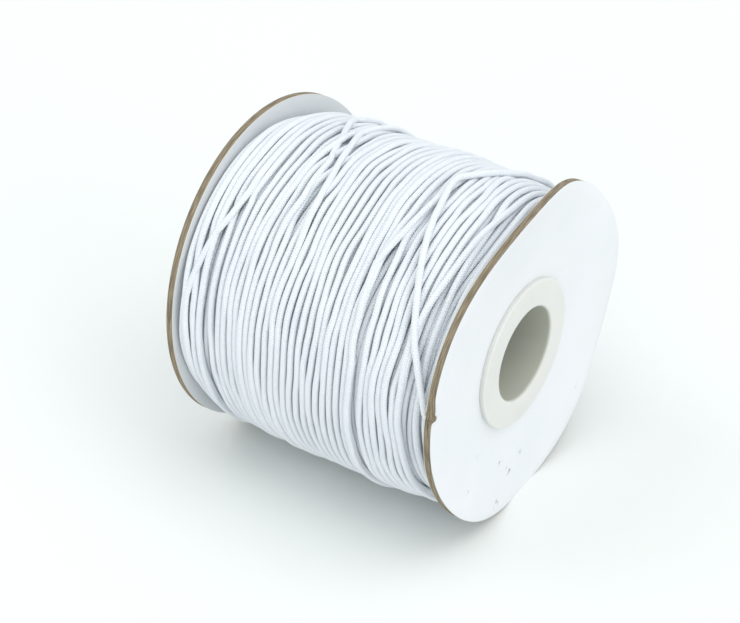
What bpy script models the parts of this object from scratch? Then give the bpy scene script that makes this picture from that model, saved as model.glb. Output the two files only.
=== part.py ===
"""A roll of round white elastic cord, wound on a spool of two card flanges and a moulded hub.

The spool lies on the rims of its flanges, with its axis along X and +Z up. The origin is on the
floor under the middle of the spool. Lengths are in metres. Radii and angles are taken about the
hub's axis, angles in degrees: 0 is the front (-Y), 90 the top and -90 the floor.
"""

import math
from collections import namedtuple

import bmesh
import bpy
from mathutils import Vector

# The spool's outside
FLANGE_RADIUS = 0.0400      # the card discs are 80 mm across
RIM_X = 0.03569             # outer face of each rim, so the spool is 71 mm wide
CARD = 0.00185              # thickness of the card
DISH = 0.00229              # how far the wound cord has pushed each rim outwards
DISH_POWER = 1.3            # above 1, the card bends more the further out it is
FLAT_DEPTH = 0.00035        # how far each rim is crushed flat where it stands
GAP = 0.0003                # clearance between pieces that touch

# The moulded hub, in two halves that plug into each other
BORE_RADIUS = 0.0112
TUBE_RADIUS = 0.0132
COLLAR_RADIUS = 0.0179
COLLAR_THICKNESS = 0.0009
COLLAR_ROUND = 0.00035      # rounding of the collar's rim
MOUTH_ROUND = 0.0007        # rounding of the bore's mouth
LAP_LENGTH = 0.0060         # how far the tongue of one half reaches into the other
LAP_RADIUS = 0.0122         # middle of the lap's joint, inside the tube's wall

# The cards' holes are loose on the hub, which sits low and a little to one side in them
HOLE_RADIUS = 0.0142
HUB_DROP = 0.0005
CARD_SHIFTS = {"slit": 0.0003, "plain": -0.0004}    # Y of each card's middle

# The wound cord
CORD = 0.0015
PACK_RADIUS = 0.0379        # radius of the wound pack between its bundles
PACK_LEAN = 0.0008          # the pack sags this far towards LEAN_ANGLE
LEAN_ANGLE = -30.0
CROWN = 0.0005              # the middle of the pack stands this much higher

# The slit in one rim that holds the cord's end
SLIT_ANGLE = 9.0            # about the card's own middle
SLIT_WIDTH = CORD + 2 * GAP
SLIT_DEPTH = 0.0029

# Facets
FLANGE_STEPS = 80
PACK_STEPS = 80
PACK_ACROSS = 38
HUB_STEPS = 48
ARC_STEPS = 3

AXIS_Z = FLANGE_RADIUS - FLAT_DEPTH - HUB_DROP
FACE_X = RIM_X - DISH                   # outer face of the card at the hub
SEAT_RADIUS = COLLAR_RADIUS + 0.0006    # the card stays flat as far out as this
BEND_RADII = (SEAT_RADIUS, 0.0250, 0.0305, 0.0352)     # rings on which the card's bend is facetted
COLLAR_X = FACE_X + GAP                 # inner face of the collar
SIDES = {"slit": 1, "plain": -1}

# Near each flange the turns lie lower: from this far out the pack falls to this depth at the card
Shoulder = namedtuple("Shoulder", "start depth power")
SHOULDERS = {"slit": Shoulder(0.0130, 0.0030, 3), "plain": Shoulder(0.0255, 0.0010, 2)}

# How each card disc has warped, as waves round its rim: waves round, cosine and sine parts
Wave = namedtuple("Wave", "count cosine sine")
WARP = {
    "slit": (
        Wave(2, -0.00058, -0.00020),
        Wave(3, -0.00056, -0.00030),
        Wave(4, 0.00010, -0.00037),
        Wave(5, 0.00006, 0.00041),
    ),
    "plain": (Wave(1, -0.00018, -0.00060), Wave(2, 0.00043, 0.00025), Wave(3, -0.00006, -0.00006)),
}

# Bundles of turns that stand proud of the pack: where each lies at the front, how far and how
# often it sways in one turn, and the ridge that it makes
Bundle = namedtuple("Bundle", "x sway waves phase width height")
BUNDLES = (
    Bundle(-0.0285, 0.0010, 3, 40, 0.0015, 0.00050),
    Bundle(-0.0240, 0.0018, 2, 200, 0.0016, 0.00080),
    Bundle(-0.0192, 0.0014, 4, 310, 0.0014, 0.00065),
    Bundle(-0.0150, 0.0024, 3, 95, 0.0017, 0.00090),
    Bundle(-0.0098, 0.0016, 5, 15, 0.0015, 0.00065),
    Bundle(-0.0050, 0.0026, 2, 260, 0.0018, 0.00090),
    Bundle(0.0002, 0.0015, 4, 170, 0.0015, 0.00075),
    Bundle(0.0048, 0.0022, 3, 330, 0.0017, 0.00090),
    Bundle(0.0100, 0.0017, 2, 60, 0.0015, 0.00065),
    Bundle(0.0149, 0.0020, 4, 120, 0.0016, 0.00080),
    Bundle(0.0196, 0.0015, 3, 240, 0.0015, 0.00065),
    Bundle(0.0243, 0.0019, 2, 350, 0.0016, 0.00075),
    Bundle(0.0287, 0.0009, 4, 75, 0.0015, 0.00050),
)

# Turns that cross the others on a slant, each a straight run between two places on the pack
Crossing = namedtuple("Crossing", "x_from angle_from x_to angle_to")
CROSSINGS = (
    Crossing(-0.0206, 107, -0.0060, 39),
    Crossing(-0.0290, 12, -0.0225, -40),
    Crossing(0.0060, 215, -0.0120, 138),
    Crossing(0.0210, 290, 0.0085, 205),
)
CROSSING_WIDTH = 0.0012
CROSSING_HEIGHT = 0.00080

# The middle of the cord's last run: over the pack, taut across the low turns by the flange, and
# out through the slit
Place = namedtuple("Place", "x radius angle")
END_RUN = (
    Place(0.0154, 0.0391, 85), Place(0.0168, 0.0391, 77), Place(0.0178, 0.0392, 70),
    Place(0.0192, 0.0393, 62.5), Place(0.0207, 0.0393, 55.5), Place(0.0223, 0.0392, 48.5),
    Place(0.0239, 0.0390, 41.5), Place(0.0252, 0.0388, 35), Place(0.0265, 0.0385, 29.5),
    Place(0.0279, 0.0382, 24.5), Place(0.0294, 0.0381, 19), Place(0.0308, 0.0381, 14),
)
PRESS_WIDTH = 0.0030        # the run presses the bundles under it flat over this width
TUCK_RADIUS = 0.0384        # the cord's middle in the slit, from the card's own middle
TUCK_DEPTHS = (1.4, 0.9, 0.5, 0.05)     # shares of the card's thickness at which the last points lie
RUN_STEP = 0.0012           # spacing of the points along the run
RUN_SAMPLES = 40            # finer points for each stretch, from which the spacing is measured

# Colour, roughness
FINISHES = {
    "elastic": ((0.84, 0.87, 0.90), 0.78),
    "card": ((0.90, 0.91, 0.92), 0.62),
    "moulding": ((0.82, 0.83, 0.79), 0.35),
}


def place(x, radius, angle):
    """The point at this radius and angle about the hub's axis."""
    turn = math.radians(angle)
    return Vector((x, -radius * math.cos(turn), radius * math.sin(turn)))


def card_middle(side):
    return Vector((0, CARD_SHIFTS[side], HUB_DROP))


def arc(x, radius, size, start, end):
    """Points (x, radius) of a rounding with this middle, from one direction to another."""
    turns = [math.radians(start + (end - start) * i / ARC_STEPS) for i in range(ARC_STEPS + 1)]
    return [(x + size * math.cos(t), radius + size * math.sin(t)) for t in turns]


def card_x(side, radius, angle):
    """X of a card disc's outer face: flat at the hub, dished outwards and warped at the rim."""
    slope = max(0.0, radius - SEAT_RADIUS) / (FLANGE_RADIUS - SEAT_RADIUS)
    bent = 0.0
    for wave in WARP[side]:
        turn = math.radians(wave.count * angle)
        reach = (radius / FLANGE_RADIUS) ** wave.count
        bent += reach * (wave.cosine * math.cos(turn) + wave.sine * math.sin(turn))
    return SIDES[side] * (FACE_X + DISH * slope ** DISH_POWER) + bent * min(1.0, 2 * slope)


def end_x(side, radius, angle):
    """X of the wound pack's end, just clear of the card's inner face."""
    return card_x(side, radius, angle) - SIDES[side] * (CARD + GAP)


def run_x(angle):
    """X of the cord's last run at this angle, or None where it doesn't pass."""
    for first, second in zip(END_RUN, END_RUN[1:]):
        if second.angle <= angle <= first.angle:
            share = (first.angle - angle) / (first.angle - second.angle)
            return first.x + share * (second.x - first.x)
    return None


def smooth_radius(x, angle):
    """The pack's radius without its bundles."""
    lean = PACK_LEAN * math.cos(math.radians(angle - LEAN_ANGLE))
    crown = CROWN * (1 - (x / FACE_X) ** 2)
    shoulder = SHOULDERS["slit" if x > 0 else "plain"]
    share = max(0.0, abs(x) - shoulder.start) / (FACE_X - CARD - shoulder.start)
    return PACK_RADIUS + lean + crown - shoulder.depth * share ** shoulder.power


def ridge(x, angle):
    """How far the highest bundle or crossing turn stands above the smooth pack here."""
    heights = [0.0]
    for bundle in BUNDLES:
        sway = bundle.sway * math.sin(math.radians(bundle.waves * angle + bundle.phase))
        off = (x - bundle.x - sway) / bundle.width
        heights.append(bundle.height * math.exp(-off * off))
    for run in CROSSINGS:
        share = ((run.angle_from - angle) % 360) / (run.angle_from - run.angle_to)
        if share <= 1:
            off = (x - run.x_from - share * (run.x_to - run.x_from)) / CROSSING_WIDTH
            heights.append(CROSSING_HEIGHT * math.exp(-off * off))
    return max(heights)


def pack_radius(x, angle):
    """The pack's radius: its bundles are pressed flat under the last run, and by the floor."""
    under = run_x(angle)
    pressed = 0.0 if under is None else math.exp(-(((x - under) / PRESS_WIDTH) ** 2))
    radius = smooth_radius(x, angle) + ridge(x, angle) * (1 - pressed)
    down = -math.sin(math.radians(angle))
    return min(radius, (AXIS_Z - GAP) / down) if down > 0.5 else radius


def mesh_object(name, bm, finish):
    """Close the bmesh into a named object on the hub's axis, smooth but for its sharp edges."""
    bmesh.ops.recalc_face_normals(bm, faces=bm.faces)
    if bm.calc_volume(signed=True) < 0:
        bmesh.ops.reverse_faces(bm, faces=bm.faces)
    mesh = bpy.data.meshes.new(name)
    bm.to_mesh(mesh)
    bm.free()
    mesh.shade_smooth()
    mesh.set_sharp_from_angle(angle=math.radians(40))
    return add_object(name, mesh, finish)


def add_object(name, data, finish):
    obj = bpy.data.objects.new(name, data)
    bpy.context.collection.objects.link(obj)
    obj.parent = bpy.data.objects["spool"]
    if finish:
        data.materials.append(bpy.data.materials[finish])
    return obj


def turned(name, profile, steps, finish, shape=None, middle=Vector()):
    """Spin a closed profile of (x, radius) about this middle, and let shape move each point."""
    bm = bmesh.new()
    verts = [bm.verts.new(middle + place(x, radius, 0)) for x, radius in profile]
    edges = [bm.edges.new(pair) for pair in zip(verts, verts[1:] + verts[:1])]
    bmesh.ops.spin(
        bm, geom=verts + edges, cent=middle, axis=(1, 0, 0), angle=2 * math.pi, steps=steps
    )
    bmesh.ops.remove_doubles(bm, verts=bm.verts, dist=1e-6)
    for vert in bm.verts if shape else ():
        x, y, z = vert.co
        angle = math.degrees(math.atan2(z, -y))
        vert.co = place(*shape(x, math.hypot(y, z), angle), angle)
    return mesh_object(name, bm, finish)


def card_flange(side):
    """A disc of white-faced card: dished, warped, and crushed flat where it stands."""
    rings = (HOLE_RADIUS, *BEND_RADII, FLANGE_RADIUS)
    profile = [(0, r) for r in rings] + [(-CARD, r) for r in reversed(rings)]

    def bend(depth, radius, angle):
        return card_x(side, radius, angle) + SIDES[side] * depth, radius

    flange = turned(f"flange_{side}", profile, FLANGE_STEPS, "card", bend, card_middle(side))
    for vert in flange.data.vertices:
        vert.co.z = max(vert.co.z, -AXIS_Z)
    return flange


def cut_slit(flange):
    """Cut the narrow slit that grips the cord's end, square through the rim."""
    bm = bmesh.new()
    bmesh.ops.create_cube(bm, size=1)
    cutter = mesh_object("slit_cutter", bm, None)
    length = 2 * SLIT_DEPTH
    cutter.scale = (6 * CARD, length, SLIT_WIDTH)
    outside = place(RIM_X, FLANGE_RADIUS - SLIT_DEPTH + length / 2, SLIT_ANGLE)
    cutter.location = card_middle("slit") + outside
    cutter.rotation_euler.x = -math.radians(SLIT_ANGLE)
    cutter.hide_render = True
    cutter.display_type = "WIRE"
    slit = flange.modifiers.new("slit", "BOOLEAN")
    slit.operation = "DIFFERENCE"
    slit.object = cutter


def hub_half(side):
    """A collar that clamps the card, on a tube that plugs into the other half."""
    face = COLLAR_X + COLLAR_THICKNESS
    collar = [
        *arc(face - MOUTH_ROUND, BORE_RADIUS + MOUTH_ROUND, MOUTH_ROUND, -90, 0),
        *arc(face - COLLAR_ROUND, COLLAR_RADIUS - COLLAR_ROUND, COLLAR_ROUND, 0, 90),
        (COLLAR_X, COLLAR_RADIUS),
        (COLLAR_X, TUBE_RADIUS),
    ]
    if side == "slit":      # the tongue, inside the other half
        step, reach = LAP_RADIUS - GAP / 2, -LAP_LENGTH
    else:                   # the socket, outside the tongue
        step, reach = LAP_RADIUS + GAP / 2, LAP_LENGTH + GAP
    joint = [(GAP / 2, TUBE_RADIUS), (GAP / 2, step), (reach, step), (reach, BORE_RADIUS)]
    profile = [(SIDES[side] * x, radius) for x, radius in collar + joint]
    return turned(f"hub_{side}", profile, HUB_STEPS, "moulding")


def wound_pack():
    """The wound cord as one solid: a ring between the flanges, with its bundles as ridges."""
    def across(share, radius, angle):
        left = end_x("plain", radius, angle)
        return left + share * (end_x("slit", radius, angle) - left)

    # In this profile x is the share of the width, and a radius of 1 stands for the pack's surface.
    surface = [(i / PACK_ACROSS, 1.0) for i in range(PACK_ACROSS + 1)]
    rings = (TUBE_RADIUS + GAP, *BEND_RADII)
    profile = surface + [(1, r) for r in reversed(rings)] + [(0, r) for r in rings]

    def wind(share, radius, angle):
        if radius < 0.5:
            return across(share, radius, angle), radius
        x = across(share, PACK_RADIUS, angle)
        top = pack_radius(x, angle)
        return across(share, top, angle), top

    return turned("cord_winding", profile, PACK_STEPS, "elastic", wind)


def run_points():
    """The last run's middle line: over the pack, then sideways through the slit."""
    outer = card_x("slit", TUCK_RADIUS, SLIT_ANGLE)
    inside = card_middle("slit") + place(outer, TUCK_RADIUS, SLIT_ANGLE)
    tucked = [inside - Vector((depth * CARD, 0, 0)) for depth in TUCK_DEPTHS]
    return [place(*row) for row in END_RUN] + tucked


def smooth_line(points, step):
    """Points this far apart on a smooth curve through the given ones."""
    ends = [2 * points[0] - points[1], *points, 2 * points[-1] - points[-2]]
    fine = []
    for a, b, c, d in zip(ends, ends[1:], ends[2:], ends[3:]):
        for i in range(RUN_SAMPLES):
            t = i / RUN_SAMPLES
            slope = c - a
            bend = 2 * a - 5 * b + 4 * c - d
            twist = 3 * b - a - 3 * c + d
            fine.append(b + (slope * t + bend * t ** 2 + twist * t ** 3) / 2)
    fine.append(points[-1])
    length = sum((q - p).length for p, q in zip(fine, fine[1:]))
    count = round(length / step)
    even, travelled = [fine[0]], 0.0
    for p, q in zip(fine, fine[1:]):
        travelled += (q - p).length
        if travelled >= len(even) * length / count and len(even) < count:
            even.append(q)
    return even + [fine[-1]]


def cord_end_run():
    """The cord's last run, a round tube as thick as the cord."""
    route = smooth_line(run_points(), RUN_STEP)
    curve = bpy.data.curves.new("cord_end_run", "CURVE")
    curve.dimensions = "3D"
    curve.bevel_depth = CORD / 2
    curve.bevel_resolution = 2
    curve.use_fill_caps = True
    spline = curve.splines.new("POLY")
    spline.points.add(len(route) - 1)
    for point, co in zip(spline.points, route):
        point.co = (*co, 1)
    return add_object("cord_end_run", curve, "elastic")


def main():
    for obj in list(bpy.data.objects):
        bpy.data.objects.remove(obj)
    for name, (colour, roughness) in FINISHES.items():
        material = bpy.data.materials.new(name)
        material.use_nodes = True
        shader = material.node_tree.nodes["Principled BSDF"]
        shader.inputs["Base Color"].default_value = (*colour, 1)
        shader.inputs["Roughness"].default_value = roughness
        shader.inputs["Metallic"].default_value = 0
    spool = bpy.data.objects.new("spool", None)
    bpy.context.collection.objects.link(spool)
    spool.location.z = AXIS_Z

    cut_slit(card_flange("slit"))
    card_flange("plain")
    hub_half("slit")
    hub_half("plain")
    wound_pack()
    cord_end_run()


main()
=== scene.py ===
# %% [markdown]
# # A roll of round elastic cord on a card spool
#
# About a hundred metres of white elastic cord, 1.5 mm thick, are wound between two discs of
# white-faced card. A moulded hub holds the discs. The checked solids are loaded first and never
# moved: the collision model keeps them, and the finer pieces made here stand in their places.

# %% Load the solids
import math
from collections import namedtuple

import bmesh
import bpy
import numpy as np
from mathutils import Matrix, Vector


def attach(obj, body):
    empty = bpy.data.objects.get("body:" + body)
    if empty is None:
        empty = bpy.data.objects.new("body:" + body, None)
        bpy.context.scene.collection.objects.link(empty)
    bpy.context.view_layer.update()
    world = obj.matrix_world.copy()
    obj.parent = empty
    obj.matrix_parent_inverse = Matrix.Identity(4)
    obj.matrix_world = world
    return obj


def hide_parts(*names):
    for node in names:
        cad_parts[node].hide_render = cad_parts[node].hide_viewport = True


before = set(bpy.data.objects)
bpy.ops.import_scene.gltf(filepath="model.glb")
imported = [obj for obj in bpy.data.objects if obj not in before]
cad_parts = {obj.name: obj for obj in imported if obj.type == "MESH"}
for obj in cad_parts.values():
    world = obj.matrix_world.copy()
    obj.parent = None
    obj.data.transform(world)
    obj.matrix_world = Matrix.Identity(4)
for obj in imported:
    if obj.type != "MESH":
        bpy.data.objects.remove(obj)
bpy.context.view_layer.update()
print("solids:", sorted(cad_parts))

# %% [markdown]
# ## The camera
#
# A camera is placed by where it looks and from which side. This one looks down at the spool from
# the right, and stands well back, so the two discs look nearly the same size. Its lens is long to
# match. The point that it looks at is a little off the spool's middle, as the spool is a little
# off the middle of the picture.

# %% Camera
AZIMUTH = 34.155  # degrees from the front towards the end with the slit
ELEVATION = 35.768  # degrees over the floor
DISTANCE = 0.43332
LOOKS_AT = Vector((0.0, 0.0003, 0.03965))
ASIDE = -0.00637  # the camera is shifted this far to its own right
RAISED = -0.00239  # and this far along its own up direction
SENSOR = 36  # millimetres wide
LENS = 90.93  # millimetres


def add_object(name, data):
    obj = bpy.data.objects.new(name, data)
    bpy.context.scene.collection.objects.link(obj)
    return obj


azimuth, elevation = math.radians(AZIMUTH), math.radians(ELEVATION)
back = Vector((math.sin(azimuth) * math.cos(elevation),
               -math.cos(azimuth) * math.cos(elevation),
               math.sin(elevation)))
right = Vector((math.cos(azimuth), math.sin(azimuth), 0))
up = back.cross(right)
camera = add_object("camera", bpy.data.cameras.new("camera"))
camera.data.sensor_width = SENSOR
camera.data.lens = LENS
camera.matrix_world = Matrix.Translation(
    LOOKS_AT + back * DISTANCE + right * ASIDE + up * RAISED
) @ Matrix((right, up, back)).transposed().to_4x4()
bpy.context.scene.camera = camera
print("camera at", [round(v, 4) for v in camera.matrix_world.translation])

# %% [markdown]
# ## The spool's own measure
#
# Everything on a spool is easiest to say in three numbers: where it lies along the axis (x), how
# far from the axis, and at what angle round it. Angle 0 is the front, 90 the top and -90 the
# floor. The card discs are dished outwards by the cord that is wound between them, and have warped
# a little, so their distance from the middle changes with radius and angle. The formulas are those
# of the solids, so that the finer pieces lie where the solids are.

# %% Sizes and the shape of the cards
AXIS_Z = 0.03915  # height of the hub's axis
FLANGE_RADIUS = 0.0400
CARD = 0.00185  # thickness of a card
FACE_X = 0.0334  # a card's outer face near the hub
DISH = 0.00229  # how much further out it is at the rim
DISH_POWER = 1.3
SEAT_RADIUS = 0.0185  # inside this a card is flat
WARP_FADE = 0.5  # share of the way to the rim over which the warp comes in
HUB_DROP = 0.0005  # the hub's axis is this much lower than the cards' middles
CARD_SHIFTS = {"slit": 0.0003, "plain": -0.0004}  # each middle lies this far behind the axis
SIDES = {"slit": 1, "plain": -1}
GAP = 0.0003  # between neighbouring solids
CORD = 0.0015  # thickness of the cord

Wave = namedtuple("Wave", "count cosine sine")
WARP = {
    "slit": (Wave(2, -0.00058, -0.00020), Wave(3, -0.00056, -0.00030),
             Wave(4, 0.00010, -0.00037), Wave(5, 0.00006, 0.00041)),
    "plain": (Wave(1, -0.00018, -0.00060), Wave(2, 0.00043, 0.00025), Wave(3, -0.00006, -0.00006)),
}


def place(x, radius, angle):
    """Points in the scene from x, radius and angle, which may be arrays."""
    turn = np.radians(angle)
    y, z = -radius * np.cos(turn), AXIS_Z + radius * np.sin(turn)
    return np.stack(np.broadcast_arrays(x, y, z), -1)


def card_x(side, radius, angle):
    """X of a card disc's outer face."""
    slope = np.clip((radius - SEAT_RADIUS) / (FLANGE_RADIUS - SEAT_RADIUS), 0, None)
    bent = 0.0
    for wave in WARP[side]:
        turn = np.radians(wave.count * angle)
        reach = (radius / FLANGE_RADIUS) ** wave.count
        bent = bent + reach * (wave.cosine * np.cos(turn) + wave.sine * np.sin(turn))
    dished = SIDES[side] * (FACE_X + DISH * slope ** DISH_POWER)
    return dished + bent * np.minimum(1.0, slope / WARP_FADE)


rims = [round(float(card_x(side, FLANGE_RADIUS, 0)) * 1000, 1) for side in ("plain", "slit")]
print("rims at the front from", rims[0], "to", rims[1], "mm")

# %% [markdown]
# ## Shader maths as plain expressions
#
# A material is a graph of nodes, and its sums are hard to read as nodes. This small class wraps a
# socket, so that `noise * 0.5 + 0.2` adds the Math nodes by itself. Every other node comes from one
# method, which sets the node's own settings first and then its sockets.

# %% Material helpers
def math_method(operation):
    return lambda self, *others: self.math(operation, *others)


class Value:
    """One output socket of a node, that can be used in sums."""

    def __init__(self, paint, socket):
        self.paint = paint
        self.socket = socket

    def math(self, operation, *others):
        node = self.paint.node("Math", {"operation": operation}, dict(enumerate((self, *others))))
        return node["Value"]

    __add__ = math_method("ADD")
    __sub__ = math_method("SUBTRACT")
    __mul__ = math_method("MULTIPLY")
    __pow__ = math_method("POWER")
    sine = math_method("SINE")
    most = math_method("MAXIMUM")
    least = math_method("MINIMUM")

    def ramp(self, low, high):
        """0 below low, 1 above high, smooth between them. Low may be the greater."""
        node = self.paint.node(
            "MapRange",
            {"interpolation_type": "SMOOTHSTEP"},
            {"Value": self, "From Min": low, "From Max": high},
        )
        return node["Result"]


class Paint:
    """A new material and the nodes that are added to it."""

    def __init__(self, name, **constants):
        self.material = bpy.data.materials.new(name)
        self.material.use_nodes = True
        self.tree = self.material.node_tree
        self.shader = self.tree.nodes["Principled BSDF"]
        for socket, value in constants.items():
            self.shader.inputs[socket.replace("_", " ")].default_value = value

    def node(self, kind, settings=None, values=None):
        """Add a shader node and return its outputs by name."""
        node = self.tree.nodes.new("ShaderNode" + kind)
        for name, value in (settings or {}).items():
            setattr(node, name, value)
        for socket, value in (values or {}).items():
            self.plug(value, node.inputs[socket])
        return {out.name: Value(self, out) for out in node.outputs if out.enabled}

    def plug(self, value, socket):
        if isinstance(value, Value):
            value = value.socket
        if isinstance(value, bpy.types.NodeSocket):
            self.tree.links.new(value, socket)
        else:
            socket.default_value = value

    def feed(self, socket, value):
        self.plug(value, self.shader.inputs[socket])

    def mix(self, share, first, second):
        """The colour between first and second. In a Mix node sockets 6 and 7 are the colours."""
        node = self.tree.nodes.new("ShaderNodeMix")
        node.data_type = "RGBA"
        for socket, value in ((0, share), (6, first), (7, second)):
            self.plug(value, node.inputs[socket])
        return Value(self, node.outputs[2])

    def noise(self, scale, detail, at=None):
        """Noise from 0 to 1, in the piece's own coordinates unless another vector is given."""
        values = {"Scale": scale, "Detail": detail, "Vector": at or self.own()}
        return self.node("TexNoise", None, values)["Fac"]

    def own(self):
        return self.node("TexCoord")["Object"]

    def attribute(self, name, output="Fac"):
        return self.node("Attribute", {"attribute_name": name})[output]

    def xyz(self, vector):
        parts = self.node("SeparateXYZ", None, {"Vector": vector})
        return parts["X"], parts["Y"], parts["Z"]

    def bump(self, height, depth):
        """Let a height from 0 to 1 raise the surface by this depth in metres."""
        node = self.node("Bump", None, {"Height": height, "Distance": depth, "Strength": 1.0})
        self.feed("Normal", node["Normal"])


def colour(red, green, blue):
    """A colour given as it shows on a screen, 0 to 255, as the linear one that a shader needs."""
    shares = (red / 255, green / 255, blue / 255)
    return (*(s / 12.92 if s < 0.04045 else ((s + 0.055) / 1.055) ** 2.4 for s in shares), 1)


print("a screen's middle grey is", round(colour(128, 128, 128)[0], 3), "to a shader")

# %% [markdown]
# ## The braided cover
#
# This elastic has a core of rubber threads under a thin braided cover of white yarn. The braid is
# two sets of fine ridges that run round the cord like screw threads, one each way. One set stands
# out more, so the cord looks twisted one way. The height is the greater of two sines of the way
# round and the way along, which the sweep stores on the tube, so it follows every bend. A slow
# noise makes some stretches a touch greyer, as handled cord is. Between the ridges the colour is
# painted darker: painted shade in the braid's grooves.

# %% Material of the cord
BRAID_THREADS = 4  # ridges round the cord, each way
BRAID_PITCH = 0.00062  # from one ridge to the next, along the cord
BRAID_DEPTH = 0.00009
SECOND_SET = 0.5  # how high the second set of ridges is beside the first


def cord_material(name, bright, greyed_and_shaded):
    paint = Paint(
        name, Roughness=0.72, Sheen_Weight=0.05, Sheen_Roughness=0.5, Specular_IOR_Level=0.35
    )
    ring_x, ring_y, _ = paint.xyz(paint.attribute("ring", "Vector"))
    around = ring_y.math("ARCTAN2", ring_x) * BRAID_THREADS
    along = paint.attribute("along") * (2 * math.pi / BRAID_PITCH)
    threads = (around + along).sine().most((around - along).sine() * SECOND_SET)
    tuft = paint.noise(1400, 2)
    paint.bump(threads * 0.8 + tuft * 0.7, BRAID_DEPTH)
    handled = paint.noise(60, 3).ramp(0.42, 0.72)
    # painted shade: the colour is darker between the braid's ridges, where shade falls; the two noises
    # give a real, random grey
    between = threads.ramp(0.6, -0.2)
    grey_and_painted_shade = handled * 0.5 + tuft.ramp(0.35, 0.75) * 0.3 + between
    paint.feed("Base Color", paint.mix(grey_and_painted_shade * 0.5, bright, greyed_and_shaded))
    return paint.material


cord_white = cord_material("braided_white", colour(237, 241, 245), colour(215, 221, 228))
print("braid:", BRAID_THREADS, "ridges each way,", round(BRAID_PITCH * 1000, 2), "mm apart")

# %% [markdown]
# ## How a roll is wound
#
# The winding could be one lathed drum with a grooved bump, but its outline and its gaps would be
# flat. Real turns lie over and beside each other, part and close up, and a few cross the others.
# So the cord is wound here as on the machine, turn after turn, and each new turn rests on what
# lies under it. Three things decide a turn's path:
#
# 1. *lanes*, the places side by side where turns lie, which sway to and fro round the roll
# 2. which lane the turn takes, and where it changes lane on its way to the other flange
# 3. the height at which it rests on the turns below, pulled tight so that it spans hollows
#
# The visible lanes are set by the dark lines between turns. Each row gives how many turns
# lie left of such a line, and where it runs, in millimetres, at eight angles down the front.

# %% Where the turns run on the front
LINE_ANGLES = (105, 85, 65, 45, 25, 5, -15, -40)
Line = namedtuple("Line", "turns_left x105 x85 x65 x45 x25 x5 x_15 x_40")
LINES = (
    Line(3, -30.1, -29.9, -29.4, -28.8, -28.6, -29.2, -28.6, -28.4),
    Line(5, -29.0, -28.1, -27.3, -27.5, -26.8, -24.8, -23.7, -24.5),
    Line(6, -26.6, -26.0, -25.4, -26.0, -24.7, -23.4, -22.4, -22.7),
    Line(7, -23.9, -23.8, -23.1, -22.6, -22.7, -22.0, -21.2, -21.0),
    Line(8, -20.9, -20.2, -20.1, -21.1, -20.7, -19.8, -19.5, -19.3),
    Line(9, -19.0, -18.6, -18.1, -18.7, -19.3, -18.2, -17.2, -17.2),
    Line(11, -16.8, -16.1, -16.0, -16.7, -16.1, -15.5, -15.0, -14.8),
    Line(13, -14.0, -13.6, -13.7, -13.4, -12.2, -12.6, -12.4, -12.4),
    Line(14, -11.2, -10.9, -11.0, -10.6, -10.4, -10.3, -11.0, -11.0),
    Line(15, -10.0, -9.5, -9.0, -9.0, -8.9, -8.7, -8.0, -8.6),
    Line(17, -5.2, -6.6, -6.9, -5.6, -6.6, -5.8, -6.0, -6.3),
    Line(19, -3.9, -3.7, -3.3, -2.5, -1.9, -1.6, -3.8, -4.0),
    Line(20, -1.6, -1.5, -1.2, -0.7, 0.2, 0.8, 0.2, 0.3),
    Line(22, 3.4, 2.9, 3.2, 2.8, 3.9, 3.1, 2.8, 1.2),
    Line(23, 5.0, 5.1, 5.9, 5.9, 5.8, 6.2, 5.1, 4.6),
    Line(25, 7.2, 7.5, 7.9, 8.2, 7.7, 8.9, 8.6, 8.0),
    Line(27, 8.6, 8.5, 9.9, 11.4, 12.2, 12.9, 13.2, 12.9),
    Line(29, 14.6, 14.9, 14.2, 13.3, 13.8, 14.3, 15.0, 14.8),
    Line(30, 16.2, 16.5, 15.6, 15.7, 16.0, 16.4, 17.0, 16.8),
    Line(31, 18.2, 17.9, 17.5, 17.9, 18.2, 18.9, 18.4, 18.0),
    Line(32, 20.4, 20.2, 19.6, 19.5, 20.2, 20.7, 19.9, 19.6),
    Line(34, 22.4, 22.3, 22.8, 21.5, 22.2, 22.8, 23.7, 24.6),
    Line(35, 24.2, 24.4, 24.6, 24.0, 24.1, 24.5, 25.1, 26.0),
    Line(36, 25.1, 25.3, 26.2, 26.6, 26.3, 26.0, 26.8, 27.6),
    Line(37, 27.8, 27.4, 27.9, 28.9, 28.5, 28.0, 28.2, 28.6),
    Line(38, 29.5, 30.0, 29.7, 30.4, 30.3, 30.2, 29.5, 29.6),
)
LANES = 39

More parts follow.
